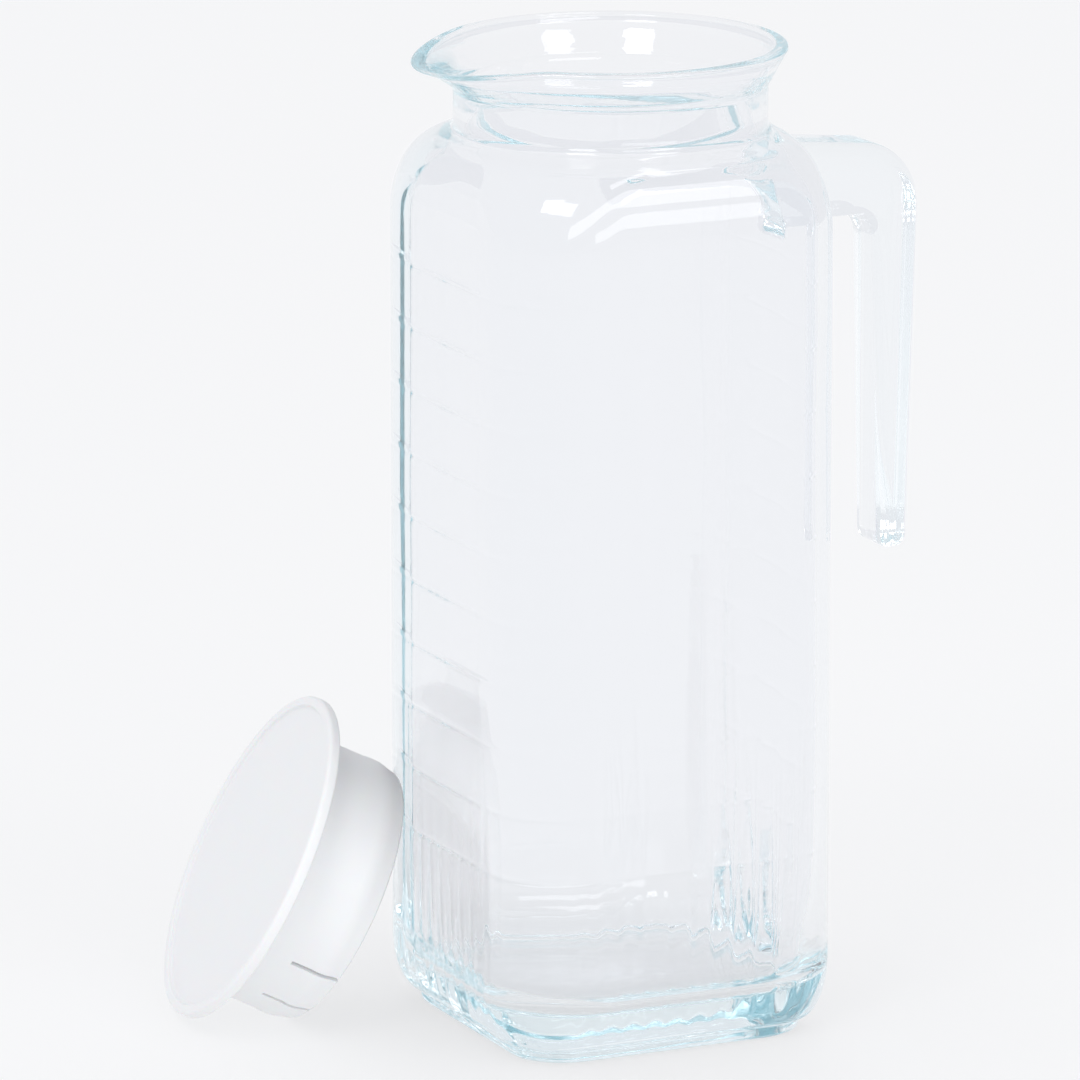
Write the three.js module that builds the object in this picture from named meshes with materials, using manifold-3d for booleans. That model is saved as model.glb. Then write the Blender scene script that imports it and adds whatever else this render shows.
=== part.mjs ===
// A fridge jug of clear pressed glass, with a push-in plastic lid leaning against it.
// The vessel is a rounded square in plan and turns into a round neck with a flared rim
// and a pouring spout. The handle is a glass bar fused to the shoulder, free at its
// lower end. Millimetres, +Z up. The origin is the centre of the flat foot, +X points
// to the handle and -X to the spout.

import * as THREE from 'three';
import { mergeVertices } from 'three/addons/utils/BufferGeometryUtils.js';
import Module from 'manifold-3d';

const wasm = await Module();
wasm.setup();

// ---- Driving dimensions -------------------------------------------------------------

const jug = {
  height: 255, // foot to rim
  half: 47.2, // half of the width across the flat sides
  corner: 20, // radius of the four upright corners, in plan
  wall: 3,
  cornerFill: 7, // extra radius of the corners inside, which makes the glass thick there
  footInset: 8.5, // how far the heel curves in to the foot
  heelRise: 19,
  floor: 12, // thickness of the glass at the lowest point of the floor
  floorCrown: 1, // how far the middle of the floor stands above its edge
  crownBend: 0.7, // share of that rise reached half way in from the edge
  insideHeel: 11, // radius where the inside wall turns into the floor
  shoulderDrop: 46, // rim down to where the shoulder starts
  shoulderRise: 23,
};

const rings = {
  below: 11, // shoulder down to the top ring
  pitch: 16.5,
  lowest: 42, // no ring is cut below this height
  depth: 0.5,
};

const neck = {
  inside: 36, // bore radius
  wall: 4,
  length: 12,
  boreRun: 1, // how far the bore runs below the neck
  fillet: 1.4, // where the shoulder meets the neck
};

const rim = {
  flare: 5, // how far the rim stands out beyond the neck, in radius
  wall: 3.6,
  waist: 0.45, // share of the flare's height where it is half as wide
  land: 1.8, // width of the flat on top
  lip: 0.9, // rounding of its two edges
};

const spout = {
  reach: 8.5, // beyond the round rim
  dip: 3.4, // below the round rim
  below: 2, // how far down the neck it starts
  spread: 50, // degrees to either side
};

const handle = {
  gap: 24.8, // finger gap between the vessel and the top of the grip
  top: 14.5, // top of the arm above the start of the shoulder
  arm: 19, // height of the arm
  rise: 1, // how far the arm rises towards the shoulder
  drop: 106.5, // top of the arm to the tip of the grip
  width: 16.5,
  gripTop: 12.7, // thickness of the grip below the elbow
  gripTip: 8.7,
  tipLean: 1.6, // how far the inner face leans out at the tip
  elbow: 17,
  insideElbow: 7,
  root: 5, // fillet under the arm
  edge: 3.4, // rounding of the long edges
};

const lid = {
  rimGap: 0.6, // the disc is this much smaller in radius than the jug's rim
  skirtGap: 0.4, // clearance of the skirt in the neck
  edge: 3.2, // thickness of the disc's border
  border: 3.2, // width of the raised border
  recess: 1.2, // depth of the panel inside the border
  plate: 1.8, // thickness of that panel
  height: 27.5,
  skirtWall: 1.8,
  leadIn: 1, // how far the end of the skirt draws in, to start it in the neck
  leadLength: 5,
  round: 0.8,
  slitWidth: 1.2,
  slitLength: 14,
  slits: [37.1, 62.5, 217.1, 242.5], // degrees round the skirt, from its lowest line
};

const lean = {
  tilt: 63.2, // degrees that the lid's axis leans from upright
  heading: 169.5, // degrees, direction that the top of the lid faces, from +X to +Y
  side: 36, // how far the lid's centre lies to +Y
  start: 3, // the lid starts this many half widths out, then slides in
  passes: 12,
};

const joinGap = 0.3; // between the vessel and the root of the handle
const restGap = 0.4; // between the leaning lid and the glass

const jugSegments = 64;
const lidSegments = 60;

const clearGlass = { color: 0xdfecee, roughness: 0.04, metalness: 0, transparent: true, opacity: 0.35 };
const whitePlastic = { color: 0xf1f3f5, roughness: 0.45, metalness: 0 };

// ---- Values that follow from them ---------------------------------------------------

const shoulderZ = jug.height - jug.shoulderDrop;
const neckOutside = neck.inside + neck.wall;
const rimOutside = neckOutside + rim.flare;
const neckBottomZ = shoulderZ + jug.shoulderRise + neck.fillet / 2;
const neckTopZ = neckBottomZ + neck.length;
const spoutStartZ = neckTopZ - spout.below;
const topRingZ = shoulderZ - rings.below;
const ringCount = Math.floor((topRingZ - rings.lowest) / rings.pitch) + 1;
const skirtOutside = neck.inside - lid.skirtGap;
const skirtEnd = skirtOutside - lid.leadIn;
const discRadius = rimOutside - lid.rimGap;

// ---- Helpers ------------------------------------------------------------------------

const radians = THREE.MathUtils.degToRad;
const lerp = THREE.MathUtils.lerp;

/** Calls place(angle) for equal steps of a quarter turn, both ends included. */
function quarter(steps, place) {
  for (let i = 0; i <= steps; i += 1) {
    place((i / steps) * Math.PI / 2);
  }
}

/** Distance from the centre of a rounded square to its outline, at an angle. */
function outlineRadius(half, corner, angle) {
  const x = Math.abs(Math.cos(angle));
  const y = Math.abs(Math.sin(angle));
  const flat = half - corner;
  const side = half / Math.max(x, y);
  if (Math.min(x, y) * side <= flat) {
    return side;
  }
  const along = (x + y) * flat;
  return along + Math.sqrt(Math.max(along * along - 2 * flat * flat + corner * corner, 0));
}

/** Moves every point of a profile outwards along the profile's own normal. */
function grown(profile, gap) {
  return profile.map((point, i) => {
    const before = profile[Math.max(i - 1, 0)];
    const after = profile[Math.min(i + 1, profile.length - 1)];
    const run = after.half - before.half;
    const rise = after.z - before.z;
    const length = Math.hypot(run, rise);
    const out = (gap * rise) / length;
    const onAxis = point.half === 0;
    return {
      half: onAxis ? 0 : point.half + out,
      corner: onAxis ? 0 : point.corner + out,
      z: point.z - (gap * run) / length,
    };
  });
}

/** Turns a profile of rounded squares, each with a half width, corner and height. */
function turnedSquare(profile, segments) {
  const points = profile.map(({ half, z }) => new THREE.Vector2(half, z));
  const geometry = new THREE.LatheGeometry(points, segments);
  geometry.rotateX(Math.PI / 2);
  const position = geometry.attributes.position;
  for (let i = 0; i < position.count; i += 1) {
    const { half, corner, z } = profile[i % profile.length];
    const column = Math.floor(i / profile.length) % segments;
    const angle = (column / segments) * 2 * Math.PI - Math.PI / 2;
    const radius = half === 0 ? 0 : outlineRadius(half, corner, angle);
    position.setXYZ(i, radius * Math.cos(angle), radius * Math.sin(angle), z);
  }
  return geometry;
}

/** Draws the rim out and down into the spout on the -X side. */
function drawSpout(geometry) {
  const position = geometry.attributes.position;
  for (let i = 0; i < position.count; i += 1) {
    const x = position.getX(i);
    const y = position.getY(i);
    const z = position.getZ(i);
    const away = Math.abs(Math.atan2(y, -x)) / radians(spout.spread);
    const rise = Math.max(z - spoutStartZ, 0) / (jug.height - spoutStartZ);
    if (away < 1 && rise > 0) {
      const pull = 0.5 * (1 + Math.cos(Math.PI * away)) * rise ** 1.3;
      const stretch = 1 + (spout.reach * pull) / Math.hypot(x, y);
      position.setXYZ(i, x * stretch, y * stretch, z - spout.dip * pull * rise);
    }
  }
  return geometry;
}

function toSolid(geometry) {
  const bare = geometry.clone();
  bare.deleteAttribute('normal');
  bare.deleteAttribute('uv');
  const merged = mergeVertices(bare);
  return new wasm.Manifold(new wasm.Mesh({
    numProp: 3,
    vertProperties: merged.attributes.position.array,
    triVerts: new Uint32Array(merged.index.array),
  }));
}

function toGeometry(solid) {
  const { vertProperties, triVerts } = solid.getMesh();
  const geometry = new THREE.BufferGeometry();
  geometry.setAttribute('position', new THREE.BufferAttribute(vertProperties, 3));
  geometry.setIndex(new THREE.BufferAttribute(triVerts, 1));
  geometry.computeVertexNormals();
  return geometry;
}

function namedMesh(name, geometry, finish) {
  const mesh = new THREE.Mesh(geometry, new THREE.MeshStandardMaterial(finish));
  mesh.name = name;
  return mesh;
}

// ---- Vessel -------------------------------------------------------------------------

/** Outside of the vessel, from the centre of the foot up to the top of the neck. */
function outsideProfile() {
  const profile = [{ half: 0, corner: 0, z: 0 }];
  const add = (inset, z) => {
    profile.push({ half: jug.half - inset, corner: jug.corner - inset, z });
  };
  quarter(5, (t) => {
    add(jug.footInset * (1 - Math.sin(t)), jug.heelRise * (1 - Math.cos(t)));
  });
  for (let ring = ringCount - 1; ring >= 0; ring -= 1) {
    const z = topRingZ - ring * rings.pitch;
    add(0, z - rings.pitch / 2);
    add(rings.depth, z);
  }
  add(0, topRingZ + rings.pitch / 2);
  const neckHalf = neckOutside + neck.fillet;
  quarter(5, (t) => {
    const turn = 1 - Math.cos(t);
    profile.push({
      half: lerp(jug.half, neckHalf, turn),
      corner: lerp(jug.corner, neckHalf, turn),
      z: shoulderZ + jug.shoulderRise * Math.sin(t),
    });
  });
  for (const z of [neckBottomZ + neck.fillet / 2, neckTopZ]) {
    profile.push({ half: neckOutside, corner: neckOutside, z });
  }
  return profile;
}

/** The flare, the lip with its flat land, and the flare inside. All of it is round. */
function rimProfile() {
  const inner = rimOutside - rim.wall;
  const landMiddle = rimOutside - rim.wall / 2;
  const lipZ = jug.height - rim.lip;
  const round = (radius, z) => ({ half: radius, corner: radius, z });
  return [
    round(lerp(neckOutside, rimOutside, 0.5), lerp(neckTopZ, lipZ, rim.waist)),
    round(rimOutside, lipZ),
    round(landMiddle + rim.land / 2, jug.height),
    round(landMiddle - rim.land / 2, jug.height),
    round(inner, lipZ),
    round(lerp(neck.inside, inner, 0.5), lerp(neckTopZ, lipZ, rim.waist)),
    round(neck.inside, neckTopZ),
  ];
}

/** Inside of the vessel, from the neck down to the centre of the floor. */
function insideProfile() {
  const profile = [{ half: neck.inside, corner: neck.inside, z: neckBottomZ - neck.boreRun }];
  const half = jug.half - jug.wall;
  const corner = jug.corner - jug.wall + jug.cornerFill;
  const rise = jug.shoulderRise - jug.wall;
  quarter(4, (t) => {
    const turn = 1 - Math.sin(t);
    profile.push({
      half: lerp(half, neck.inside + neck.fillet, turn),
      corner: lerp(corner, neck.inside + neck.fillet, turn),
      z: shoulderZ + rise * Math.cos(t),
    });
  });
  quarter(4, (t) => {
    const inset = jug.insideHeel * (1 - Math.cos(t));
    profile.push({
      half: half - inset,
      corner: corner - inset,
      z: jug.floor + jug.insideHeel * (1 - Math.sin(t)),
    });
  });
  const edge = profile[profile.length - 1];
  profile.push({ half: edge.half / 2, corner: edge.corner / 2, z: jug.floor + jug.crownBend * jug.floorCrown });
  profile.push({ half: 0, corner: 0, z: jug.floor + jug.floorCrown });
  return profile;
}

function vesselSolid() {
  const profile = [...outsideProfile(), ...rimProfile(), ...insideProfile()];
  return toSolid(drawSpout(turnedSquare(profile, jugSegments)));
}

// ---- Handle -------------------------------------------------------------------------

/** Side view of the handle, from the jug's axis out: x is the jug's X and y is the jug's Z. */
function handleOutline() {
  const innerX = jug.half + handle.gap;
  const outerX = innerX + handle.gripTop;
  const topZ = shoulderZ + handle.top;
  const armZ = topZ - handle.arm;
  const tipRadius = handle.gripTip / 2;
  const tipX = innerX + handle.tipLean + tipRadius;
  const tipZ = topZ - handle.drop + tipRadius;
  const shape = new THREE.Shape();
  shape.moveTo(0, armZ - handle.root);
  shape.lineTo(jug.half, armZ - handle.root);
  shape.absarc(jug.half + handle.root, armZ - handle.root, handle.root, Math.PI, Math.PI / 2, true);
  shape.absarc(innerX - handle.insideElbow, armZ - handle.insideElbow, handle.insideElbow,
    Math.PI / 2, 0, true);
  shape.absarc(tipX, tipZ, tipRadius, Math.PI, 2 * Math.PI, false);
  shape.absarc(outerX - handle.elbow, topZ - handle.elbow, handle.elbow, 0, Math.PI / 2, false);
  shape.lineTo(jug.half, topZ + handle.rise);
  shape.lineTo(0, topZ + handle.rise);
  return shape;
}

function handleGeometry() {
  const blank = new THREE.ExtrudeGeometry(handleOutline(), {
    depth: handle.width - 2 * handle.edge,
    curveSegments: 10,
    bevelThickness: handle.edge,
    bevelSize: handle.edge,
    bevelOffset: -handle.edge,
    bevelSegments: 3,
  });
  blank.translate(0, 0, handle.edge - handle.width / 2);
  blank.rotateX(Math.PI / 2);
  const core = grown(outsideProfile(), joinGap);
  core.push({ half: 0, corner: 0, z: neckTopZ });
  return toGeometry(toSolid(blank).subtract(toSolid(turnedSquare(core, jugSegments))));
}

// ---- Lid ----------------------------------------------------------------------------

/** The lid about its own axis, with the top of its border at z = 0. */
function lidGeometry() {
  const inside = skirtOutside - lid.skirtWall;
  const panel = discRadius - lid.border;
  const ceiling = -lid.recess - lid.plate;
  const profile = [
    [0, ceiling],
    [inside - lid.round, ceiling],
    [inside, ceiling - lid.round],
    [inside, -lid.height + lid.leadLength],
    [inside - lid.leadIn, -lid.height + lid.round],
    [inside - lid.leadIn + lid.skirtWall / 3, -lid.height],
    [skirtEnd - lid.skirtWall / 4, -lid.height],
    [skirtEnd, -lid.height + lid.round / 2],
    [skirtOutside, -lid.height + lid.leadLength],
    [skirtOutside, -lid.edge - lid.round],
    [skirtOutside + lid.round, -lid.edge],
    [discRadius - lid.round, -lid.edge],
    [discRadius, -lid.edge + lid.round],
    [discRadius, -lid.round],
    [discRadius - lid.round, 0],
    [panel + lid.round, 0],
    [panel, -lid.round / 2],
    [panel - lid.round, -lid.recess],
    [0, -lid.recess],
  ].map(([radius, z]) => new THREE.Vector2(radius, z));
  let solid = toSolid(new THREE.LatheGeometry(profile, lidSegments).rotateX(Math.PI / 2));
  for (const degrees of lid.slits) {
    const cutter = new THREE.BoxGeometry(4 * lid.skirtWall, lid.slitWidth, 2 * lid.slitLength);
    cutter.translate(skirtOutside, 0, -lid.height);
    cutter.rotateZ(radians(degrees));
    solid = solid.subtract(toSolid(cutter));
  }
  return toGeometry(solid);
}

/** Stands the lid on the edge of its skirt and slides it up to the vessel until it leans there. */
function leaningLid(vessel) {
  const upright = lidGeometry();
  const stand = new THREE.Group();
  stand.rotation.set(0, radians(lean.tilt), radians(lean.heading), 'ZYX');
  stand.position.set(-lean.start * jug.half, lean.side, 0);
  stand.add(namedMesh('lid', upright, whitePlastic));
  stand.updateMatrixWorld(true);
  stand.position.z -= new THREE.Box3().setFromObject(stand, true).min.z;
  for (let pass = 0; pass < lean.passes; pass += 1) {
    stand.updateMatrixWorld(true);
    const placed = toSolid(upright.clone().applyMatrix4(stand.matrixWorld));
    stand.position.x += vessel.minGap(placed, jug.height) - restGap;
  }
  return stand;
}

// ---- Assembly -----------------------------------------------------------------------

const waterJug = new THREE.Group();
const vessel = vesselSolid();
waterJug.add(namedMesh('jug_body', toGeometry(vessel), clearGlass));
waterJug.add(namedMesh('handle', handleGeometry(), clearGlass));
waterJug.add(leaningLid(vessel));

export default waterJug;
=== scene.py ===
# %% [markdown]
# # A glass fridge jug and its plastic lid
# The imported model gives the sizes: a pressed glass vessel with a fused handle, and a
# loose one-piece lid that leans against it. Each is rebuilt here with its fine shape.
# The CAD solids could carry the finish themselves, but their facets would show in
# every reflection, so two smooth meshes that fill the same space stand in for them.

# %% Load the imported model
import math

import bmesh
import bpy
from mathutils import Matrix, Vector, noise


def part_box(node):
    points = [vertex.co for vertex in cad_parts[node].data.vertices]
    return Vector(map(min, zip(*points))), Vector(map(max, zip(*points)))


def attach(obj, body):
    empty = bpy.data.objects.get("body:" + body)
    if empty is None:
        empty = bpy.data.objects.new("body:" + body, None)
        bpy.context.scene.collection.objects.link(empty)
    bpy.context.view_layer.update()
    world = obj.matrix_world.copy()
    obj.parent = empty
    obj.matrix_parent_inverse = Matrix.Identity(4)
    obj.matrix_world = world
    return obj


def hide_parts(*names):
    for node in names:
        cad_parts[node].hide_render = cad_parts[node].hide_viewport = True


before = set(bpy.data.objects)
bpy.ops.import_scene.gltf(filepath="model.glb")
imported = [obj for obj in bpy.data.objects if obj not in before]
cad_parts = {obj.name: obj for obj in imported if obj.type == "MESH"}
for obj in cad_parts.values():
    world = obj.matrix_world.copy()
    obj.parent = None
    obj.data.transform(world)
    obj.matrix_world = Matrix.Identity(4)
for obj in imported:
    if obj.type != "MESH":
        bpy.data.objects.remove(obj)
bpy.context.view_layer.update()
MM = 0.001
_, jug_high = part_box("jug_body")
handle_low, handle_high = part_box("handle")
lid_low, lid_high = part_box("lid")

# %% [markdown]
# # Sizes of the glass
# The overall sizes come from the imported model. What a box can't say, such as the wall
# and the radii, is written once here in millimetres, the unit that glass moulds are
# drawn in. A profile in millimetres is also easier to read than one in metres.

# %% Sizes of the glass, in millimetres
HEIGHT = jug_high[2] / MM
HALF = jug_high[1] / MM
FLAT = 27.2
WALL = 3.0
FLAT_IN = (20.2, 26.0)
SHOULDER = HEIGHT - 46.0
SHOULDER_RISE = 23.0
NECK_BOTTOM = SHOULDER + SHOULDER_RISE + 0.7
NECK_TOP = NECK_BOTTOM + 12.0
NECK_OUT = 40.0
NECK_IN = 36.0
RIM_OUT = 45.0
RIM_WALL = 3.6
FLOOR = 12.0
HEEL_IN = 11.0
FOOT_HALF = 40.3
FOOT_BAND = 2.8
HEEL_TOP = 19.0
RING_PITCH = 16.5
RING_TOP = SHOULDER - 11.0
RING_COUNT = 10
SPOUT_REACH = 8.5
SPOUT_DIP = 3.4
SPOUT_SPREAD = math.radians(50.0)
print("height", round(HEIGHT, 2), "half width", round(HALF, 2))

# %% [markdown]
# # Camera
# The jug is seen from far away through a long lens, a little from above, with the
# handle to the right and turned away. A short lens close by would make the shoulders
# lean, so the camera stands 2.5 metres off and the lens is long instead.

# %% Camera
CAMERA_AZIMUTH = math.radians(-25.0)
CAMERA_ELEVATION = math.radians(13.5)
CAMERA_DISTANCE = 2.47
LENS_MM = 321.5
SENSOR_MM = 36.0
VIEW_SHIFT = 0.0179
VIEW_CENTRE = Vector((0.0, 0.0, 0.1254))
VIEW_RIGHT = Vector((math.cos(CAMERA_AZIMUTH), math.sin(CAMERA_AZIMUTH), 0.0))


def towards_camera(azimuth, elevation):
    """A direction of length 1 out from the jug, with azimuth 0 straight in front of it."""
    level = math.cos(elevation)
    return Vector((math.sin(azimuth) * level, -math.cos(azimuth) * level, math.sin(elevation)))


target = VIEW_CENTRE - VIEW_RIGHT * VIEW_SHIFT
camera_data = bpy.data.cameras.new("camera")
camera_data.lens = LENS_MM
camera_data.sensor_width = SENSOR_MM
camera = bpy.data.objects.new("camera", camera_data)
camera.location = target + towards_camera(CAMERA_AZIMUTH, CAMERA_ELEVATION) * CAMERA_DISTANCE
camera.rotation_euler = (target - camera.location).to_track_quat("-Z", "Y").to_euler()
bpy.context.scene.collection.objects.link(camera)
bpy.context.scene.camera = camera
print("camera at", [round(v, 3) for v in camera.location])

# %% [markdown]
# # Helpers for mesh work
# Each piece is made in a bmesh and becomes an object at the origin, with its place in
# its mesh. The same few steps end every piece: points that coincide are merged, the
# faces are turned outwards, and the surface is shaded smooth up to a crease angle.

# %% Helpers for mesh work
def finished_object(name, bm, crease=40.0):
    """Makes a bmesh into an object of the scene, shaded smooth up to a crease angle."""
    bmesh.ops.remove_doubles(bm, verts=bm.verts, dist=0.002 * MM)
    bmesh.ops.recalc_face_normals(bm, faces=bm.faces)
    mesh = bpy.data.meshes.new(name)
    bm.to_mesh(mesh)
    bm.free()
    mesh.shade_smooth()
    mesh.set_sharp_from_angle(angle=math.radians(crease))
    piece = bpy.data.objects.new(name, mesh)
    bpy.context.scene.collection.objects.link(piece)
    return piece


def boolean(piece, cutter, operation, crease=40.0):
    """Joins or cuts a piece with another one, and removes the other one."""
    modifier = piece.modifiers.new("boolean", "BOOLEAN")
    modifier.operation = operation
    modifier.solver = "EXACT"
    modifier.object = cutter
    evaluated = piece.evaluated_get(bpy.context.evaluated_depsgraph_get())
    mesh = bpy.data.meshes.new_from_object(evaluated)
    piece.modifiers.clear()
    piece.data = mesh
    mesh.shade_smooth()
    mesh.set_sharp_from_angle(angle=math.radians(crease))
    bpy.data.objects.remove(cutter)


def spun(profile, steps):
    """Spins a profile of (radius, height) points about Z into a bmesh, in millimetres."""
    bm = bmesh.new()
    verts = [bm.verts.new((radius, 0.0, z)) for radius, z in profile]
    edges = [bm.edges.new(pair) for pair in zip(verts, verts[1:])]
    bmesh.ops.spin(
        bm, geom=verts + edges, cent=(0, 0, 0), axis=(0, 0, 1), dvec=(0, 0, 0),
        angle=2 * math.pi, steps=steps, use_merge=True)
    bmesh.ops.remove_doubles(bm, verts=bm.verts, dist=0.001)
    return bm


def arc(centre, radii, start, end, steps):
    """Points along an elliptical arc in the profile plane, angles in degrees."""
    points = []
    for i in range(steps + 1):
        t = math.radians(start + (end - start) * i / steps)
        points.append((centre[0] + radii[0] * math.cos(t), centre[1] + radii[1] * math.sin(t)))
    return points


def bump(x):
    """A smooth hill: 1 at x = 0, falling to 0 at x = 1 and beyond."""
    return 0.5 * (1 + math.cos(math.pi * min(abs(x), 1.0)))


# %% [markdown]
# # The vessel's profile
# A pressed jug is a body of revolution whose plan is squared up below the neck. Its
# section is drawn once, from the middle of the foot, up the outside, over the lip and
# down the inside to the middle of the floor. Rows of points lie closer together where
# a ring, the crease under the flare or the lip needs them.

# %% The vessel's profile
RING_STEPS = (-8.25, -6.0, -4.0, -2.5, -1.5, -0.9, -0.45, 0.0, 0.45, 0.9, 1.5, 2.5, 4.0, 6.0)
RIM_LIP = 1.1


def outside_rows():
    """From the middle of the foot up the outside to the top of the neck."""
    rows = [(0.0, 0.35), (14.0, 0.35), (28.0, 0.3), (35.0, 0.12), (37.5, 0.0)]
    rows += arc((FOOT_HALF - 1.4, 1.1), (1.4, 1.1), -90, 0, 5)
    rows += [(FOOT_HALF, FOOT_BAND - 0.4), (FOOT_HALF - 0.15, FOOT_BAND)]
    rows += arc((FOOT_HALF, HEEL_TOP), (HALF - FOOT_HALF, HEEL_TOP - FOOT_BAND - 0.4), -90, 0, 16)
    rows.append((HALF, 24.0))
    lowest_ring = RING_TOP - (RING_COUNT - 1) * RING_PITCH
    for ring in range(RING_COUNT):
        z = lowest_ring + ring * RING_PITCH
        rows += [(HALF, z + step) for step in RING_STEPS]
    rows.append((HALF, RING_TOP + 8.25))
    rows += arc((NECK_OUT + 1.4, SHOULDER), (HALF - NECK_OUT - 1.4, SHOULDER_RISE), 0, 82, 20)
    rows += arc((NECK_OUT + 2.6, NECK_BOTTOM + 2.6), (2.6, 2.8), 240, 180, 6)
    rows += [(NECK_OUT, NECK_TOP - step) for step in (8.0, 5.0, 2.5, 1.0, 0.3)]
    return rows


def rim_rows():
    """Over the lip, from the outside of the neck to the inside of it."""
    rim_in = RIM_OUT - RIM_WALL
    rows = [(NECK_OUT + 0.25, NECK_TOP + 0.3), (NECK_OUT + 0.9, NECK_TOP + 1.3)]
    rows += [(NECK_OUT + 2.3, NECK_TOP + 4.0), (NECK_OUT + 3.6, NECK_TOP + 6.5)]
    rows += arc((RIM_OUT - RIM_LIP, HEIGHT - RIM_LIP), (RIM_LIP, RIM_LIP), -30, 90, 8)
    rows += [(RIM_OUT - RIM_WALL / 2, HEIGHT)]
    rows += arc((rim_in + RIM_LIP, HEIGHT - RIM_LIP), (RIM_LIP, RIM_LIP), 90, 190, 7)
    rows += [(NECK_IN + 3.4, NECK_TOP + 5.0), (NECK_IN + 1.5, NECK_TOP + 2.2)]
    rows += [(NECK_IN + 0.4, NECK_TOP + 0.4), (NECK_IN, NECK_TOP - 1.0)]
    return rows


def inside_rows():
    """Down the inside to the middle of the floor."""
    half = HALF - WALL
    rows = [(NECK_IN, NECK_BOTTOM + 5.5)]
    rows += arc((NECK_IN + 4.0, NECK_BOTTOM + 4.5), (4.0, 6.2), 180, 240, 8)
    rows += arc((NECK_IN + 0.8, SHOULDER), (half - NECK_IN - 0.8, SHOULDER_RISE - WALL), 70, 0, 14)
    bands = 24
    bottom = FLOOR + HEEL_IN
    rows += [(half, SHOULDER + (bottom - SHOULDER) * i / bands) for i in range(1, bands)]
    rows += arc((half - HEEL_IN, bottom), (HEEL_IN, HEEL_IN), 0, -90, 12)
    rows += [(24.0, FLOOR + 0.1), (14.0, FLOOR + 0.6), (6.0, FLOOR + 0.95), (0.0, FLOOR + 1.0)]
    return rows


outside = outside_rows()
rim = rim_rows()
inside = inside_rows()
print("profile rows", len(outside), len(rim), len(inside))

# %% [markdown]
# # Squaring up, ringing and drawing the spout
# The spun shape is round, so each point is moved in plan from the circle to a rounded
# square. A rounded square is a smaller square swept by a circle, so one number, the
# length of the flat, turns it from square at the body to round at the neck. The
# rings and flutes are pressed in by moving the outside along its normal, and the
# spout by drawing the rim outwards and down on one side, as a glassworker does.

# %% Moves that shape the vessel
COLUMNS = 328
FLUTE_PITCH = 6.2
FLUTE_DEPTH = 0.26


def flat_length(radius, z, is_outside, to_handle):
    """Half the length of the flat side at a height. Inside it shortens at the floor.

    The corners inside are rounder on the spout side, where the glass is thickest.
    """
    full = FLAT
    if not is_outside:
        full = FLAT_IN[to_handle] * (1 - 0.15 * bump((z - FLOOR) / 34.0))
    height = SHOULDER_RISE if is_outside else SHOULDER_RISE - WALL
    rise = min(max(z - SHOULDER, 0.0) / height, 1.0)
    return min(full * math.sqrt(max(1 - rise * rise, 0.0)), 0.64 * radius)


def wall_middle(z):
    """Radius half way through the wall, which tells the outside from the inside."""
    rise = min(max(z - SHOULDER, 0.0) / SHOULDER_RISE, 1.0)
    return (NECK_OUT + NECK_IN) / 2 + (HALF - NECK_OUT + 0.5) * math.sqrt(1 - rise * rise)


def squared_radius(radius, flat, angle):
    """Distance to a rounded square whose half width is the radius."""
    x, y = abs(math.cos(angle)), abs(math.sin(angle))
    side = radius / max(x, y)
    if min(x, y) * side <= flat:
        return side
    corner = radius - flat
    along = (x + y) * flat
    return along + math.sqrt(max(along * along - 2 * flat * flat + corner * corner, 0.0))


def ring_depth(z, angle):
    """Shallow bands with a fine groove between them, deepest on the spout side."""
    nearest = (RING_TOP - z) / RING_PITCH
    if not -0.5 < nearest < RING_COUNT - 0.5:
        return 0.0
    off = (nearest - round(nearest)) * RING_PITCH
    groove = 0.26 * math.exp(-((off / 0.6) ** 2)) + 0.12 * math.exp(-((off / 2.6) ** 2))
    side = math.cos(angle)
    strength = 0.2 + 0.8 * side ** 4 if side < 0 else 0.2
    return groove * strength


def flute_depth(along, z):
    """Fine upright grooves round the foot, which rise higher towards the corners."""
    top = 50.0 + 50.0 * min(abs(along) / FLAT, 1.2) ** 2
    fade = bump((z - 16.0) / (top if z > 16.0 else 12.0))
    across = 1.0 - min(max((abs(along) - 28.0) / 8.0, 0.0), 1.0)
    groove = (0.5 + 0.5 * math.cos(2 * math.pi * along / FLUTE_PITCH)) ** 2
    return FLUTE_DEPTH * fade * across * groove


def draw_spout(x, y, z):
    """Moves a point of the rim outwards and down, most at the lip in the spout's middle."""
    away = abs(math.atan2(y, -x)) / SPOUT_SPREAD
    rise = max(z - NECK_TOP + 2.0, 0.0) / (HEIGHT - NECK_TOP + 2.0)
    if away >= 1.0 or rise <= 0.0:
        return x, y, z
    pull = bump(away) * rise ** 1.3
    stretch = 1 + SPOUT_REACH * pull / math.hypot(x, y)
    return x * stretch, y * stretch, z - SPOUT_DIP * pull * rise


def waviness(x, y, z):
    """The slow unevenness of pressed glass, as a depth in millimetres."""
    slow = noise.noise(Vector((x, y, z * 0.6)) * 0.035)
    fine = noise.noise(Vector((x, y, z * 0.4)) * 0.09 + Vector((7.0, 3.0, 1.0)))
    return 0.28 * slow + 0.1 * fine


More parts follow.
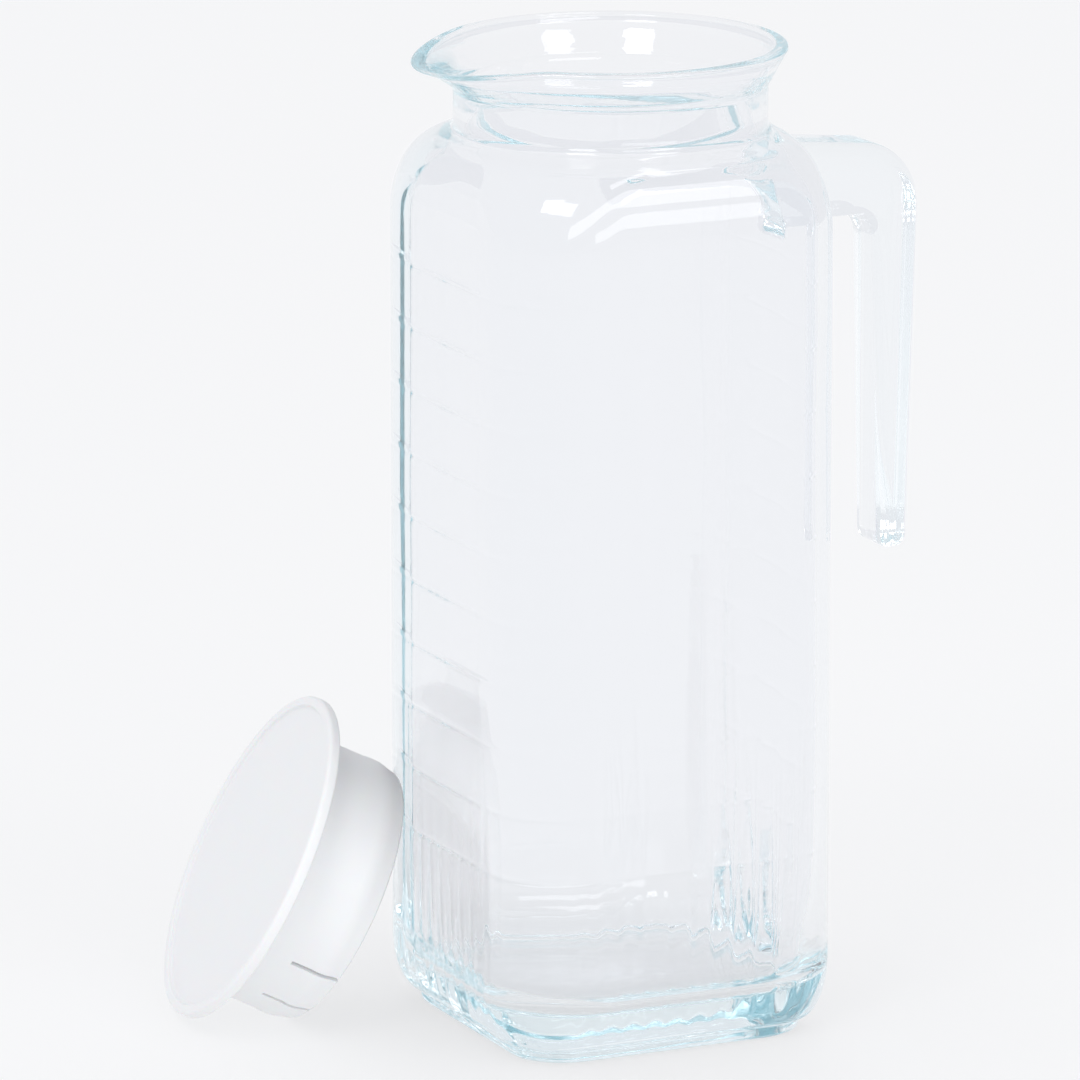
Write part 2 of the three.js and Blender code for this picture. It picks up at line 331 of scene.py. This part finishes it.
# %% Spin and shape the vessel
vessel = spun(outside + rim + inside, COLUMNS)
for vert in vessel.verts:
    x, y, z = vert.co
    radius = math.hypot(x, y)
    if radius < 0.01:
        vert.co *= MM
        continue
    angle = math.atan2(y, x)
    is_outside = radius > wall_middle(z) or z < FLOOR - 0.1
    reach = squared_radius(radius, flat_length(radius, z, is_outside, x > 0), angle)
    if is_outside and 20.0 < z < SHOULDER:
        reach -= ring_depth(z, angle)
    if is_outside and z > 4.0:
        reach -= flute_depth(reach * min(abs(math.cos(angle)), abs(math.sin(angle))), z)
    if not is_outside and z < SHOULDER:
        reach += waviness(x, y, z) * min((z - FLOOR) / 10.0, 1.0)
    vert.co = Vector(draw_spout(reach * math.cos(angle), reach * math.sin(angle), z)) * MM
jug = finished_object("glass_jug", vessel)
print("vessel faces", len(jug.data.polygons))

# %% [markdown]
# # The handle
# The handle is a bar of glass stuck to the shoulder while hot. It could be bent from a
# swept curve, but its section changes all the way: wide and deep at the root, thinner
# towards the tip. So it is lofted: one rounded section is extruded again and again,
# and each new ring is placed at the next station along the bar.

# %% Stations along the handle
GRIP_IN = HALF + 24.8
GRIP_OUT = handle_high[0] / MM
HANDLE_TOP = handle_high[2] / MM
HANDLE_TIP = handle_low[2] / MM
HANDLE_HALF = handle_high[1] / MM
ARM_LOW = HANDLE_TOP - 19.0
TIP_ROUND = 3.6
TIP_LEAN = (1.6, -2.4)
BEND_IN = 7.0
BEND_OUT = 17.0


def straight(start, end, steps):
    """Points between two ends of a line, without the ends."""
    return [
        (start[0] + (end[0] - start[0]) * i / steps, start[1] + (end[1] - start[1]) * i / steps)
        for i in range(1, steps)]


tip_z = HANDLE_TIP + TIP_ROUND
inner_edge = arc((HALF + 6.0, ARM_LOW - 6.5), (6.8, 6.5), 180, 90, 8)
inner_edge += straight((HALF + 6.0, ARM_LOW), (GRIP_IN - BEND_IN, ARM_LOW), 4)
inner_edge += arc((GRIP_IN - BEND_IN, ARM_LOW - BEND_IN), (BEND_IN, BEND_IN), 90, 0, 14)
inner_edge += straight((GRIP_IN, ARM_LOW - BEND_IN), (GRIP_IN + TIP_LEAN[0], tip_z), 14)
inner_edge.append((GRIP_IN + TIP_LEAN[0], tip_z))

outer_edge = arc((HALF + 6.5, HANDLE_TOP + 8.0), (13.0, 6.5), 200, 270, 8)
outer_edge += straight((HALF + 6.5, HANDLE_TOP + 1.5), (GRIP_OUT - BEND_OUT, HANDLE_TOP), 4)
outer_edge += arc((GRIP_OUT - BEND_OUT, HANDLE_TOP - BEND_OUT), (BEND_OUT, BEND_OUT), 90, 0, 14)
outer_edge += straight((GRIP_OUT, HANDLE_TOP - BEND_OUT), (GRIP_OUT + TIP_LEAN[1], tip_z), 14)
outer_edge.append((GRIP_OUT + TIP_LEAN[1], tip_z))
print("handle stations", len(inner_edge), len(outer_edge))

# %% Loft the handle
SECTION_POINTS = 56
SECTION_CORNER = 3.8
ROOT_FLARE = 3.6
ROOT_STATIONS = 9
TIP_STATIONS = 6


def place_section(verts, inner, outer, half_wide, shrink, drop):
    """Moves a ring of points to a rounded rectangle between two edge points."""
    inner = Vector((inner[0], 0.0, inner[1]))
    outer = Vector((outer[0], 0.0, outer[1]))
    half_thick = (outer - inner).length / 2 - shrink
    half_wide = half_wide - shrink
    corner = max(min(SECTION_CORNER, half_thick - 0.4) - shrink * 0.4, 0.5)
    middle = (inner + outer) / 2 - Vector((0.0, 0.0, drop))
    along = (outer - inner).normalized()
    for i, vert in enumerate(verts):
        t = 2 * math.pi * (i + 0.5) / SECTION_POINTS
        u, v = math.cos(t), math.sin(t)
        across = math.copysign(half_wide - corner, u) + corner * u
        thick = math.copysign(half_thick - corner, v) + corner * v
        vert.co = (middle + along * thick + Vector((0.0, across, 0.0))) * MM


handle = bmesh.new()
first = bmesh.ops.create_circle(handle, cap_ends=True, segments=SECTION_POINTS, radius=MM)
section = first["verts"]
stations = [(a, b, 0.0, 0.0) for a, b in zip(inner_edge, outer_edge)]
for step in range(1, TIP_STATIONS + 1):
    t = math.radians(90 * step / TIP_STATIONS)
    stations.append((
        inner_edge[-1], outer_edge[-1],
        TIP_ROUND * (1 - math.cos(t)), TIP_ROUND * math.sin(t)))
for number, (inner, outer, shrink, drop) in enumerate(stations):
    if number > 0:
        edges = [e for e in handle.edges if e.verts[0] in section and e.verts[1] in section]
        ring = bmesh.ops.extrude_edge_only(handle, edges=edges)["geom"]
        fresh = [item for item in ring if isinstance(item, bmesh.types.BMVert)]
        order = {}
        for vert in fresh:
            below = [e.other_vert(vert) for e in vert.link_edges if e.other_vert(vert) in section]
            order[section.index(below[0])] = vert
        section = [order[i] for i in range(SECTION_POINTS)]
    flare = max(1 - number / ROOT_STATIONS, 0.0)
    place_section(section, inner, outer, HANDLE_HALF + ROOT_FLARE * flare ** 2, shrink, drop)
handle.faces.new(section)
handle_piece = finished_object("glass_handle", handle)
print("handle faces", len(handle_piece.data.polygons))

# %% [markdown]
# # Joining the handle to the vessel
# On the real jug the two are one mass of glass, with no surface between them. Two
# meshes that only overlap would bend light at the buried faces, so they are joined
# by a boolean union, and the seam is softened by smoothing the points beside it.

# %% Join the handle to the vessel
SEAM_PASSES = 6
DIGITS = 5
before = {vert.co.to_tuple(DIGITS) for vert in jug.data.vertices}
before |= {vert.co.to_tuple(DIGITS) for vert in handle_piece.data.vertices}
boolean(jug, handle_piece, "UNION", crease=50.0)
joined = bmesh.new()
joined.from_mesh(jug.data)
seam = [vert for vert in joined.verts if vert.co.to_tuple(DIGITS) not in before]
beside = {edge.other_vert(vert) for vert in seam for edge in vert.link_edges} | set(seam)
for _ in range(SEAM_PASSES):
    bmesh.ops.smooth_vert(
        joined, verts=list(beside), factor=0.5, use_axis_x=True, use_axis_y=True, use_axis_z=True)
joined.to_mesh(jug.data)
closed = all(len(edge.link_faces) == 2 for edge in joined.edges)
print("jug closed", closed, "seam points", len(seam), "faces", len(joined.faces))
joined.free()
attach(jug, "jug")
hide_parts("jug_body", "handle")

# %% [markdown]
# # The lid
# The lid is one moulding: a disc with a raised border and a thin skirt that springs
# against the neck. Its section is spun about its own axis, four slits are cut in the
# skirt, and then it is tilted to lean on the glass, so its slits and borders stay true.

# %% Spin the lid
LID_RADIUS = 44.4
LID_EDGE = 3.2
LID_HEIGHT = 27.5
SKIRT_OUT = NECK_IN - 0.4
SKIRT_END = SKIRT_OUT - 1.0
SKIRT_WALL = 1.8
PANEL = LID_RADIUS - 3.2
CEILING = -3.0

lid_rows = [(0.0, CEILING), (12.0, CEILING), (24.0, CEILING)]
lid_rows += arc((SKIRT_OUT - SKIRT_WALL - 1.2, CEILING - 1.2), (1.2, 1.2), 90, 0, 5)
lid_rows += [(SKIRT_OUT - SKIRT_WALL, -10.0), (SKIRT_OUT - SKIRT_WALL, -LID_HEIGHT + 5.0)]
lid_rows += [(SKIRT_OUT - SKIRT_WALL - 0.3, -LID_HEIGHT + 3.0)]
lid_rows += arc((SKIRT_END - 0.8, -LID_HEIGHT + 0.7), (0.8, 0.7), 180, 360, 10)
lid_rows += [(SKIRT_END + 0.3, -LID_HEIGHT + 2.2), (SKIRT_END + 0.75, -LID_HEIGHT + 3.8)]
lid_rows += [(SKIRT_OUT - 0.05, -LID_HEIGHT + 4.8), (SKIRT_OUT, -LID_HEIGHT + 6.0)]
lid_rows += [(SKIRT_OUT, -LID_HEIGHT + 7.5), (SKIRT_OUT - 0.2, -LID_HEIGHT + 8.2)]
lid_rows += [(SKIRT_OUT - 0.2, -8.0), (SKIRT_OUT, -6.0)]
lid_rows += arc((SKIRT_OUT + 0.9, -LID_EDGE - 0.9), (0.9, 0.9), 180, 90, 5)
lid_rows += [(LID_RADIUS - 3.0, -LID_EDGE)]
lid_rows += arc((LID_RADIUS - 0.8, -LID_EDGE + 0.8), (0.8, 0.8), -90, 0, 6)
lid_rows += arc((LID_RADIUS - 1.1, -1.1), (1.1, 1.1), 0, 90, 8)
lid_rows += arc((PANEL + 0.9, -0.5), (0.5, 0.5), 90, 180, 5)
lid_rows += arc((PANEL - 0.5, -0.7), (0.9, 0.6), 0, -90, 5)
lid_rows += [(34.0, -1.35), (24.0, -1.45), (12.0, -1.5), (0.0, -1.5)]
lid = finished_object("lid_moulding", spun(lid_rows, 240))
print("lid faces", len(lid.data.polygons))

# %% [markdown]
# # Slits and lean
# Each slit is cut by a thin box that reaches through the skirt from its end. The lid
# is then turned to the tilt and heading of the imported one, and moved by the difference
# between the middles of the two boxes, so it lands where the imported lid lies.

# %% Cut the slits and lean the lid
SLIT_WIDTH = 1.2
SLIT_LENGTH = 14.0
SLIT_ANGLES = (37.1, 62.5, 217.1, 242.5)
LEAN_TILT = math.radians(63.2)
LEAN_HEADING = math.radians(169.5)


def slit_cutter(degrees):
    """A thin box that stands across the skirt, from beyond its end to the slit's top."""
    bm = bmesh.new()
    bmesh.ops.create_cube(bm, size=1.0)
    bmesh.ops.scale(bm, verts=bm.verts, vec=(4 * SKIRT_WALL, SLIT_WIDTH, 2 * SLIT_LENGTH))
    bmesh.ops.translate(bm, verts=bm.verts, vec=(SKIRT_OUT, 0.0, -LID_HEIGHT))
    bmesh.ops.rotate(bm, verts=bm.verts, matrix=Matrix.Rotation(math.radians(degrees), 3, "Z"))
    return finished_object("slit", bm)


for degrees in SLIT_ANGLES:
    boolean(lid, slit_cutter(degrees), "DIFFERENCE")
turn = Matrix.Rotation(LEAN_HEADING, 4, "Z") @ Matrix.Rotation(LEAN_TILT, 4, "Y")
lid.data.transform(turn @ Matrix.Scale(MM, 4))
mesh_low = [min(vert.co[axis] for vert in lid.data.vertices) for axis in range(3)]
mesh_high = [max(vert.co[axis] for vert in lid.data.vertices) for axis in range(3)]
shift = [
    (lid_low[axis] + lid_high[axis] - mesh_low[axis] - mesh_high[axis]) / 2 for axis in range(3)]
lid.data.transform(Matrix.Translation(shift))
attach(lid, "lid")
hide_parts("lid")
print("lid moved to", [round(v, 4) for v in shift])

# %% [markdown]
# # A shared effect: uneven surface
# Neither material is perfectly even. One node group makes a slow and a fine noise from
# Object coordinates and puts out a mask and a height. The glass uses it for faint
# smears, the plastic for the moulded grain, each at its own scale.

# %% Uneven surface group
def uneven_surface_group():
    group = bpy.data.node_groups.new("uneven_surface", "ShaderNodeTree")
    face = group.interface
    face.new_socket("Slow Scale", in_out="INPUT", socket_type="NodeSocketFloat")
    face.new_socket("Fine Scale", in_out="INPUT", socket_type="NodeSocketFloat")
    face.new_socket("Low", in_out="INPUT", socket_type="NodeSocketFloat")
    face.new_socket("High", in_out="INPUT", socket_type="NodeSocketFloat")
    face.new_socket("Value", in_out="OUTPUT", socket_type="NodeSocketFloat")
    face.new_socket("Height", in_out="OUTPUT", socket_type="NodeSocketFloat")
    nodes, links = group.nodes, group.links
    given = nodes.new("NodeGroupInput")
    result = nodes.new("NodeGroupOutput")
    place = nodes.new("ShaderNodeTexCoord")
    slow = nodes.new("ShaderNodeTexNoise")
    slow.inputs["Detail"].default_value = 3.0
    fine = nodes.new("ShaderNodeTexNoise")
    fine.inputs["Detail"].default_value = 4.0
    for noise_node, name in ((slow, "Slow Scale"), (fine, "Fine Scale")):
        links.new(place.outputs["Object"], noise_node.inputs["Vector"])
        links.new(given.outputs[name], noise_node.inputs["Scale"])
    spread = nodes.new("ShaderNodeMapRange")
    spread.inputs["From Min"].default_value = 0.35
    spread.inputs["From Max"].default_value = 0.7
    links.new(slow.outputs["Fac"], spread.inputs["Value"])
    links.new(given.outputs["Low"], spread.inputs["To Min"])
    links.new(given.outputs["High"], spread.inputs["To Max"])
    links.new(spread.outputs["Result"], result.inputs["Value"])
    links.new(fine.outputs["Fac"], result.inputs["Height"])
    return group


uneven_surface = uneven_surface_group()
print("group sockets", [item.name for item in uneven_surface.interface.items_tree])

# %% [markdown]
# # Glass
# The jug is soda-lime glass: clear through one wall, blue-green where the eye looks
# along it. Tinting the surface would tint every wall alike, so nearly all the colour
# is put in the volume, where it grows with the length of glass that light crosses.

# %% Glass material
def new_material(name):
    """A material whose roughness and relief both come from the uneven surface."""
    material = bpy.data.materials.new(name)
    material.use_nodes = True
    nodes = material.node_tree.nodes
    shader = nodes["Principled BSDF"]
    uneven = nodes.new("ShaderNodeGroup")
    uneven.node_tree = uneven_surface
    relief = nodes.new("ShaderNodeBump")
    links = material.node_tree.links
    links.new(uneven.outputs["Height"], relief.inputs["Height"])
    links.new(uneven.outputs["Value"], shader.inputs["Roughness"])
    links.new(relief.outputs["Normal"], shader.inputs["Normal"])
    return material, shader, uneven, relief


def set_values(node, **values):
    """Sets inputs of a node by name, with an underscore for each space."""
    for name, value in values.items():
        node.inputs[name.replace("_", " ")].default_value = value


glass, shader, uneven, relief = new_material("clear_glass")
set_values(shader, Transmission_Weight=1.0, IOR=1.5, Base_Color=(0.970, 0.973, 0.984, 1.0))
set_values(uneven, Slow_Scale=24.0, Fine_Scale=55.0, Low=0.0, High=0.03)
set_values(relief, Strength=0.06, Distance=0.0006)
absorption = glass.node_tree.nodes.new("ShaderNodeVolumeAbsorption")
set_values(absorption, Color=(0.40, 0.80, 0.88, 1.0), Density=2.2)
output = glass.node_tree.nodes["Material Output"]
glass.node_tree.links.new(absorption.outputs["Volume"], output.inputs["Volume"])
jug.data.materials.clear()
jug.data.materials.append(glass)
print("glass ready")

# %% [markdown]
# # White plastic
# The lid is soft polyethylene. It lets a little light in, so it gets some subsurface
# scattering, a satin roughness that varies slowly, and the fine grain of its mould.

# %% White plastic material
plastic, shader, uneven, relief = new_material("white_plastic")
set_values(
    shader, Base_Color=(0.88, 0.89, 0.90, 1.0), Subsurface_Weight=0.12, Subsurface_Scale=0.003,
    Specular_IOR_Level=0.4)
set_values(uneven, Slow_Scale=40.0, Fine_Scale=900.0, Low=0.38, High=0.52)
set_values(relief, Strength=0.12, Distance=0.0002)
lid.data.materials.clear()
lid.data.materials.append(plastic)
print("plastic ready")

# %% [markdown]
# # Floor and light
# Clear glass shows what stands round it. A pale floor and a pale sky keep it light,
# and soft boxes give the white shapes on its shoulder and rim. The floor glows a
# little, so it stays pale under the glass. Light caught in an edge turns back and
# forth many times in the wall, so a ray may bounce 96 times before it is dropped.

# %% Floor
def pale_floor():
    bm = bmesh.new()
    bmesh.ops.create_circle(bm, cap_ends=True, segments=96, radius=4.0)
    floor = finished_object("floor", bm)
    material = bpy.data.materials.new("pale_floor")
    material.use_nodes = True
    surface = material.node_tree.nodes["Principled BSDF"]
    set_values(
        surface, Base_Color=(0.25, 0.25, 0.25, 1.0), Roughness=0.7,
        Emission_Color=(0.985, 0.99, 1.0, 1.0), Emission_Strength=0.65)
    floor.data.materials.append(material)


pale_floor()

# %% Sky
world = bpy.data.worlds.new("studio")
bpy.context.scene.world = world
world.use_nodes = True
sky = world.node_tree.nodes["Background"]
set_values(sky, Color=(0.965, 0.972, 1.0, 1.0), Strength=0.88)

# %% Soft boxes
MIDDLE = Vector((0.0, 0.0, 0.2))


def soft_box(name, azimuth, elevation, distance, size, radiance):
    """A lamp that faces the jug. Its power follows from how bright it looks."""
    data = bpy.data.lights.new(name, "AREA")
    data.shape = "RECTANGLE"
    data.size, data.size_y = size
    data.energy = radiance * math.pi * size[0] * size[1]
    box = bpy.data.objects.new(name, data)
    box.visible_camera = False
    away = towards_camera(math.radians(azimuth), math.radians(elevation))
    box.location = MIDDLE + away * distance
    box.rotation_euler = away.to_track_quat("Z", "Y").to_euler()
    bpy.context.scene.collection.objects.link(box)


soft_box("strip", azimuth=5, elevation=14, distance=1.6, size=(1.25, 0.34), radiance=2.6)
soft_box("right_box", azimuth=23, elevation=46, distance=1.8, size=(0.5, 0.45), radiance=3.2)
soft_box("left_box", azimuth=-51, elevation=46, distance=1.8, size=(0.55, 0.5), radiance=5.0)
BOUNCES = 96
cycles = bpy.context.scene.cycles
cycles.max_bounces = BOUNCES
cycles.transmission_bounces = BOUNCES
cycles.glossy_bounces = BOUNCES
bpy.context.scene.view_settings.view_transform = "Standard"
print("lights", [item.name for item in bpy.data.lights])
